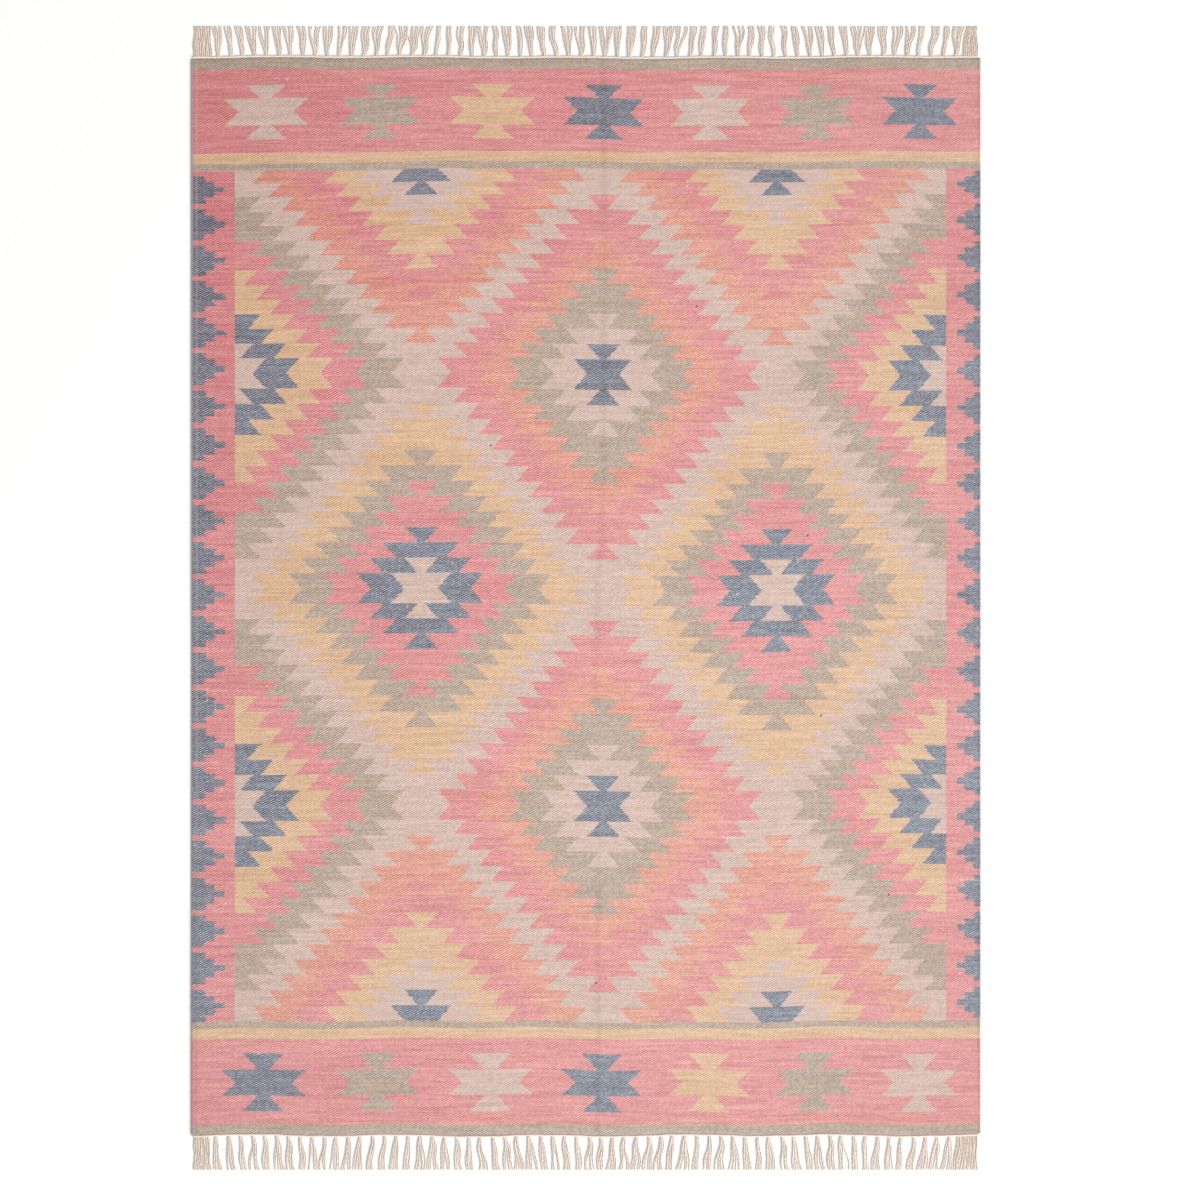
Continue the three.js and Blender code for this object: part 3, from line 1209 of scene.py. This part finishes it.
    def dress(self, cloth: bpy.types.Object, finish: WovenFinish) -> None:
        """Gives the cloth its weave finish."""
        cloth.data.materials.append(finish.build(self.chart))


@dataclass(frozen=True)
class Lock:
    """One gathered lock of warp ends: its sides at the root and at the cut, and its shape."""

    root_left: float
    root_right: float
    tip_left: float
    tip_right: float
    bow: float
    forks: bool
    fork_place: float
    yarns: int


@dataclass(frozen=True)
class PliedCordTree:
    """A Geometry Nodes tree that lays plied yarn along guide lines."""

    name: str = "lay_plied_yarn"
    sizes: tuple[tuple[str, str], ...] = (
        ("Rings", "NodeSocketInt"),
        ("Section Points", "NodeSocketInt"),
        ("Yarn Radius", "NodeSocketFloat"),
        ("Waist", "NodeSocketFloat"),
        ("Lay Length", "NodeSocketFloat"),
        ("Material", "NodeSocketMaterial"),
    )

    def build(self) -> Tree:
        """Builds the tree.

        Returns:
            A tree with named inputs for the yarn's sizes and its material.
        """
        tree = bpy.data.node_groups.new(self.name, "GeometryNodeTree")
        face = tree.interface
        face.new_socket("Geometry", in_out="INPUT", socket_type="NodeSocketGeometry")
        for name, kind in self.sizes:
            face.new_socket(name, in_out="INPUT", socket_type=kind)
        face.new_socket("Geometry", in_out="OUTPUT", socket_type="NodeSocketGeometry")
        given = tree.nodes.new("NodeGroupInput").outputs
        guides = self._node(tree, "MeshToCurve", Mesh=given["Geometry"])
        even = self._node(tree, "ResampleCurve", Curve=guides.outputs[0], Count=given["Rings"])
        length = Term(tree, tree.nodes.new("GeometryNodeSplineParameter").outputs["Length"])
        phase = tree.nodes.new("GeometryNodeInputNamedAttribute")
        phase.data_type = "FLOAT"
        phase.inputs["Name"].default_value = "phase"
        start = Term(tree, phase.outputs["Attribute"])
        turn = (length / Term(tree, given["Lay Length"]) + start) * math.tau
        tilted = self._node(tree, "SetCurveTilt", Curve=even.outputs[0], Tilt=turn.socket)
        section = self._section(tree, given)
        cord = self._node(tree, "CurveToMesh", Curve=tilted.outputs[0], Profile_Curve=section)
        cord.inputs["Fill Caps"].default_value = True
        soft = self._node(tree, "SetShadeSmooth", Geometry=cord.outputs[0])
        whole = self._node(tree, "RealizeInstances", Geometry=soft.outputs[0])
        dressed = self._node(tree, "SetMaterial", Geometry=whole.outputs[0], Material=given["Material"])
        result = tree.nodes.new("NodeGroupOutput")
        tree.links.new(dressed.outputs[0], result.inputs[0])
        return tree

    def _section(self, tree: Tree, given: bpy.types.bpy_prop_collection) -> Socket:
        """Two plies side by side, as a closed outline with a waist that carries its groove.

        Args:
            tree: the tree it goes in.
            given: the tree's own inputs.

        Returns:
            The socket that gives the outline.
        """
        circle = self._node(tree, "CurvePrimitiveCircle", Resolution=given["Section Points"])
        circle.inputs["Radius"].default_value = 1.0
        around = Term(tree, tree.nodes.new("GeometryNodeSplineParameter").outputs["Factor"]) * math.tau
        cosine, sine = around.work("COSINE"), around.work("SINE")
        groove = sine * sine
        radius = (1.0 - groove * (1.0 - Term(tree, given["Waist"]))) * Term(tree, given["Yarn Radius"])
        place = spot(tree, cosine * radius, sine * radius)
        shaped = self._node(tree, "SetPosition", Geometry=circle.outputs[0], Position=place)
        kept = self._node(tree, "StoreNamedAttribute", Geometry=shaped.outputs[0])
        kept.data_type = "FLOAT"
        kept.domain = "POINT"
        kept.inputs["Name"].default_value = "groove"
        feed(tree, groove, kept.inputs["Value"])
        return kept.outputs[0]

    @staticmethod
    def _node(tree: Tree, kind: str, **links: Socket) -> bpy.types.Node:
        """Adds a geometry node and links its inputs, with _ for a space in an input's name.

        Args:
            tree: the tree it goes in.
            kind: the node's type, without its first words.
            links: the socket for each input.

        Returns:
            The node.
        """
        node = tree.nodes.new("GeometryNode" + kind)
        for name, socket in links.items():
            tree.links.new(socket, node.inputs[name.replace("_", " ")])
        return node


@dataclass(frozen=True)
class YarnSizes:
    """Sizes of one plied yarn: mesh rings, points round it, half width, waist share and lay."""

    rings: int
    section_points: int
    radius: float
    waist: float
    lay: float


def lay_yarn(
    name: str,
    paths: Sequence[np.ndarray],
    tones: Sequence[float],
    sizes: YarnSizes,
    tree: Tree,
    material: bpy.types.Material,
) -> bpy.types.Object:
    """Lays plied yarn along paths and returns it as one plain mesh.

    Args:
        name: the piece's name.
        paths: each yarn's points in order.
        tones: each yarn's own tone, from 0 to 1.
        sizes: the yarn's sizes.
        tree: the Geometry Nodes tree that lays it.
        material: its finish.

    Returns:
        The finished piece.
    """
    counts = [len(path) for path in paths]
    starts = np.concatenate([[0], np.cumsum(counts)[:-1]]).tolist()
    edges = [(start + i, start + i + 1) for start, count in zip(starts, counts) for i in range(count - 1)]
    guide_mesh = bpy.data.meshes.new(name + "_guides")
    guide_mesh.from_pydata(np.concatenate(list(paths)).tolist(), edges, [])
    phases = [uneven(index, 31) for index in range(len(paths))]
    carry(guide_mesh, "phase", np.repeat(phases, counts))
    carry(guide_mesh, "tone", np.repeat(tones, counts))
    guide = put_in_scene(name + "_guides", guide_mesh)
    modifier = guide.modifiers.new("plied_yarn", "NODES")
    modifier.node_group = tree
    settings = {
        "Rings": sizes.rings,
        "Section Points": sizes.section_points,
        "Yarn Radius": sizes.radius,
        "Waist": sizes.waist,
        "Lay Length": sizes.lay,
        "Material": material,
    }
    for item in tree.interface.items_tree:
        if item.item_type == "SOCKET" and item.in_out == "INPUT" and item.name in settings:
            modifier[item.identifier] = settings[item.name]
    guide.update_tag()
    shown = guide.evaluated_get(bpy.context.evaluated_depsgraph_get())
    mesh = bpy.data.meshes.new_from_object(shown)
    mesh.name = name
    guide.modifiers.clear()
    bpy.data.objects.remove(guide)
    bpy.data.meshes.remove(guide_mesh)
    return put_in_scene(name, mesh)


@dataclass
class Fringe:
    """One fringe: the locks of warp ends and the twined heading cord across them."""

    node: str
    facing: int
    salt: int
    lean_start: float
    left_corner: float
    right_corner: float
    locks: int = 64
    heading_half: float = 0.697
    heading_width: float = 0.005
    heading_gap: float = 0.0003
    heading_height: float = 0.00212
    heading_points: int = 240
    root_width: float = 0.0085
    root_overlap: float = 0.0025
    tip_lean: float = 0.0065
    tip_lean_jitter: float = 0.0025
    locks_per_lean: float = 23.0
    tip_clearance: float = 0.0008
    tip_clearance_spread: float = 0.004
    bow: float = 0.0015
    fork_share: float = 0.4
    fork_start: float = 0.2
    fork_gap: float = 0.004
    warps_a_lock: int = 6
    warps_a_metre: float = 480.0
    yarn_radius: float = 0.00120
    root_pinch: float = 0.72
    crossing_lift: float = 0.0006
    cut_spread: float = 0.0012
    path_steps: int = 14
    curl: float = 0.0022
    wander: float = 0.0008
    corner_wander: float = 1.8
    stray_share: float = 0.10
    stray_reach: float = 0.0075
    corner_soiling: float = 0.9
    pallor: float = 0.0

    def _is_corner(self, index: int) -> bool:
        """Whether a lock is the wide bundle at either end of the fringe."""
        return index in (0, self.locks - 1)

    def _root_slot(self, index: int) -> float:
        """Where the slot of a lock starts at the heading.

        Args:
            index: the lock's place from the left.

        Returns:
            The slot's left side across the rug.
        """
        if index == 0:
            return -self.heading_half
        if index == self.locks:
            return self.heading_half
        pitch = (2 * self.heading_half - self.left_corner - self.right_corner) / (self.locks - 2)
        return self.left_corner - self.heading_half + (index - 1) * pitch

    def _tip_slot(self, index: int) -> float:
        """Where the slot of a lock starts at the cut, which leans in slow waves.

        Args:
            index: the lock's place from the left.

        Returns:
            The slot's left side across the rug.
        """
        root = self._root_slot(index)
        if index in (0, self.locks):
            return root
        lean = self.tip_lean * math.sin(math.tau * (index / self.locks_per_lean + self.lean_start))
        return root + lean + self.tip_lean_jitter * sway(index, self.salt + 3)

    def lock(self, index: int) -> Lock:
        """Plans one lock as the frame does.

        Args:
            index: its place from the left.

        Returns:
            The lock's plan.
        """
        corner = self._is_corner(index)
        forks = not corner and uneven(index, self.salt + 11) < self.fork_share
        left, right = self._root_slot(index), self._root_slot(index + 1)
        middle = (left + right) / 2
        half = (right - left) / 2 - self.tip_clearance if corner else self.root_width / 2
        spread = 0.0 if corner or forks else self.tip_clearance_spread
        return Lock(
            root_left=middle - half,
            root_right=middle + half,
            tip_left=self._tip_slot(index) + self.tip_clearance + spread * uneven(index, self.salt + 5),
            tip_right=self._tip_slot(index + 1) - self.tip_clearance - spread * uneven(index, self.salt + 7),
            bow=0.0 if corner else self.bow * sway(index, self.salt + 9),
            forks=forks,
            fork_place=blend(0.35, 0.65, uneven(index, self.salt + 13)),
            yarns=round((right - left) * self.warps_a_metre) if corner else self.warps_a_lock,
        )

    def _yarn_path(self, lock: Lock, index: int, yarn: int) -> np.ndarray:
        """The line that one warp end follows from the heading to the cut.

        Args:
            lock: its lock's plan.
            index: the lock's place from the left.
            yarn: its place in the lock.

        Returns:
            The points of its path.
        """
        seed = index * 29 + yarn
        corner = self._is_corner(index)
        inset = self.yarn_radius * 0.9
        place = (yarn + 0.5) / lock.yarns + 0.3 / lock.yarns * sway(seed, self.salt + 21)
        side = -1.0 if place < lock.fork_place else 1.0
        rest = self.yarn_radius
        crossing = self.crossing_lift if (yarn + index) % 2 else 0.0
        lift = crossing + 0.0002 * uneven(seed, self.salt + 23)
        tip_y = self.facing * (TOTAL_LENGTH / 2 - self.cut_spread * uneven(seed, self.salt + 25) ** 2)
        middle = (lock.root_left + lock.root_right) / 2
        pinch = 1.0 if corner else self.root_pinch
        root_x = middle + (blend(lock.root_left, lock.root_right, place) - middle) * pinch
        root_out = self.heading_gap + self.heading_width - self.root_overlap
        root_y = cloth_end_y(self.facing, root_x) + self.facing * root_out
        curl = 0.0 if corner else self.curl * sway(index, self.salt + 15)
        strays = uneven(seed, self.salt + 17) < self.stray_share and not corner
        stray = self.stray_reach * sway(seed, self.salt + 19) if strays else 0.0
        wander = self.wander * (self.corner_wander if corner else 1.0)
        turns = 0.6 + 0.9 * uneven(seed, self.salt + 27)
        start = uneven(seed, self.salt + 29)
        points = []
        for step in range(self.path_steps + 1):
            out = step / self.path_steps
            left = blend(lock.root_left + inset, lock.tip_left + inset, out)
            right = blend(lock.root_right - inset, lock.tip_right - inset, out)
            centre = (left + right) / 2
            spread = blend(pinch, 1.0, smooth(out, 0.0, 0.35))
            x = centre + (blend(left, right, place) - centre) * spread
            x += lock.bow * math.sin(math.pi * out) + curl * math.sin(math.tau * out)
            if lock.forks:
                x += side * self.fork_gap * 0.35 * smooth(out, self.fork_start, 1.0)
            x += stray * smooth(out, 0.05, 0.9)
            x += wander * smooth(out, 0.0, 0.4) * math.sin(math.tau * (out * turns + start))
            ripple = 0.0001 * math.sin(math.tau * (out * 1.3 + start))
            z = rest + lift * (1.0 - smooth(out, 0.5, 1.0)) + ripple
            points.append((x, blend(root_y, tip_y, out), max(z, rest)))
        return np.array(points)

    def build_yarns(self, tree: Tree, material: bpy.types.Material) -> bpy.types.Object:
        """Lays every warp end of this fringe as one piece.

        Args:
            tree: the tree that lays the yarn.
            material: its finish.

        Returns:
            The finished piece.
        """
        paths, tones = [], []
        for index in range(self.locks):
            plan = self.lock(index)
            lock_tone = 0.45 * uneven(index, self.salt + 41)
            soiling = self.corner_soiling if self._is_corner(index) else 0.0
            for yarn in range(plan.yarns):
                own_tone = 0.55 * uneven(index * 17 + yarn, self.salt + 43)
                paths.append(self._yarn_path(plan, index, yarn))
                tones.append(lock_tone + own_tone + self.pallor - soiling)
        sizes = YarnSizes(rings=27, section_points=8, radius=self.yarn_radius, waist=0.74, lay=0.017)
        return lay_yarn(self.node + "_warp_ends", paths, tones, sizes, tree, material)

    def build_heading(self, tree: Tree, material: bpy.types.Material) -> bpy.types.Object:
        """Lays the twined heading cord between the cloth and the locks.

        Args:
            tree: the tree that lays the yarn.
            material: its finish.

        Returns:
            The finished piece.
        """
        middle = self.heading_gap + self.heading_width / 2
        end = self.heading_half - 0.001
        points = []
        for x in np.linspace(-end, end, self.heading_points):
            waver = 0.0003 * math.sin(x * 71.0) + 0.0002 * math.sin(x * 163.0)
            y = cloth_end_y(self.facing, x) + self.facing * (middle + waver)
            points.append((x, y, self.heading_height))
        sizes = YarnSizes(rings=1100, section_points=12, radius=0.0020, waist=0.86, lay=0.0105)
        return lay_yarn(self.node + "_heading_cord", [np.array(points)], [0.75], sizes, tree, material)


@dataclass(frozen=True)
class Studio:
    """The pale floor, the soft lights and the camera above the rug."""

    view_centre: tuple[float, float] = (0.0249, -0.0030)
    view_width: float = 2.128
    lens: float = 100.0
    sensor: float = 36.0
    view_depth: float = 60.0
    floor_size: float = 40.0
    floor_grey: float = 0.93
    floor_glow: float = 0.10
    key_direction: tuple[float, float, float] = (0.78, -0.34, 0.62)
    key_strength: float = 2.35
    key_softness: float = 24.0
    key_colour: Colour = (1.0, 0.992, 0.98)
    panel_place: tuple[float, float, float] = (3.4, -1.8, 2.6)
    panel_size: float = 2.0
    panel_power: float = 62.0
    panel_colour: Colour = (1.0, 0.995, 0.985)
    surround_strength: float = 0.44

    def build_floor(self) -> bpy.types.Object:
        """Makes the plain pale floor.

        Returns:
            The floor.
        """
        half = self.floor_size / 2
        mesh = bpy.data.meshes.new("studio_floor")
        corners = [(-half, -half, 0.0), (half, -half, 0.0), (half, half, 0.0), (-half, half, 0.0)]
        mesh.from_pydata(corners, [], [(0, 1, 2, 3)])
        material = bpy.data.materials.new("pale_floor")
        material.use_nodes = True
        shader = material.node_tree.nodes["Principled BSDF"]
        shader.inputs["Base Color"].default_value = (*[self.floor_grey] * 3, 1.0)
        shader.inputs["Roughness"].default_value = 0.9
        shader.inputs["Specular IOR Level"].default_value = 0.1
        shader.inputs["Emission Color"].default_value = (1.0, 1.0, 1.0, 1.0)
        shader.inputs["Emission Strength"].default_value = self.floor_glow
        mesh.materials.append(material)
        return put_in_scene("studio_floor", mesh)

    def build_lights(self) -> None:
        """Sets a broad far key light to the right, a soft panel beside it and a pale surround."""
        key = bpy.data.lights.new("key_light", "SUN")
        key.energy = self.key_strength
        key.angle = math.radians(self.key_softness)
        key.color = self.key_colour
        holder = put_in_scene("key_light", key)
        holder.rotation_euler = Vector(self.key_direction).to_track_quat("Z", "Y").to_euler()
        panel = bpy.data.lights.new("side_panel", "AREA")
        panel.shape = "SQUARE"
        panel.size = self.panel_size
        panel.energy = self.panel_power
        panel.color = self.panel_colour
        holder = put_in_scene("side_panel", panel)
        holder.location = self.panel_place
        holder.rotation_euler = Vector(self.panel_place).to_track_quat("Z", "Y").to_euler()
        holder.visible_camera = False
        world = bpy.data.worlds.new("pale_surround")
        world.use_nodes = True
        background = world.node_tree.nodes["Background"]
        background.inputs["Color"].default_value = (1.0, 1.0, 1.0, 1.0)
        background.inputs["Strength"].default_value = self.surround_strength
        bpy.context.scene.world = world

    def build_camera(self) -> None:
        """Sets the camera straight above the rug."""
        camera = bpy.data.cameras.new("camera_above")
        camera.lens = self.lens
        camera.sensor_width = self.sensor
        camera.clip_end = self.view_depth
        holder = put_in_scene("camera_above", camera)
        height = CLOTH_TOP + self.view_width * self.lens / self.sensor
        holder.matrix_world = Matrix.Translation((*self.view_centre, height))
        bpy.context.scene.camera = holder

    def set_display(self) -> None:
        """Shows colours plainly, without a film look."""
        view = bpy.context.scene.view_settings
        view.view_transform = "Standard"
        view.look = "None"
        view.exposure = 0.0
        view.gamma = 1.0
        # The weave is barely two pixels wide from above, and cleaning the guides would wipe it away.
        bpy.context.scene.cycles.denoising_prefilter = "NONE"


def report(piece: bpy.types.Object) -> None:
    """Logs a finished piece with its number of triangles."""
    triangles = sum(len(face.vertices) - 2 for face in piece.data.polygons)
    LOG.info("%s: %d triangles", piece.name, triangles)


def main() -> None:
    """Builds the rug, its floor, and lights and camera."""
    logging.basicConfig(level=logging.INFO, format="%(message)s")
    studio = Studio()
    studio.build_camera()
    studio.set_display()
    floor = studio.build_floor()
    studio.build_lights()

    ground = WovenGround(DesignChart(), LoomPlaces())
    cloth = ground.build()
    ground.dress(cloth, WovenFinish())
    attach(cloth, "root")
    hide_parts("woven_ground")
    report(cloth)

    tree = PliedCordTree().build()
    yarn_finish = FringeFinish("undyed_warp_yarn").build()
    cord_finish = FringeFinish("undyed_heading_yarn", light=(242, 230, 218), shaded=(230, 215, 201)).build()
    fringes = (
        Fringe("far_fringe", 1, 1, 0.55, 0.036, 0.030, yarn_radius=0.00136, root_pinch=0.84),
        Fringe("near_fringe", -1, 2, 0.1, 0.031, 0.040, pallor=0.3),
    )
    for fringe in fringes:
        for piece in (fringe.build_yarns(tree, yarn_finish), fringe.build_heading(tree, cord_finish)):
            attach(piece, "root")
            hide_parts(fringe.node)
            report(piece)


if __name__ == "__main__":
    main()
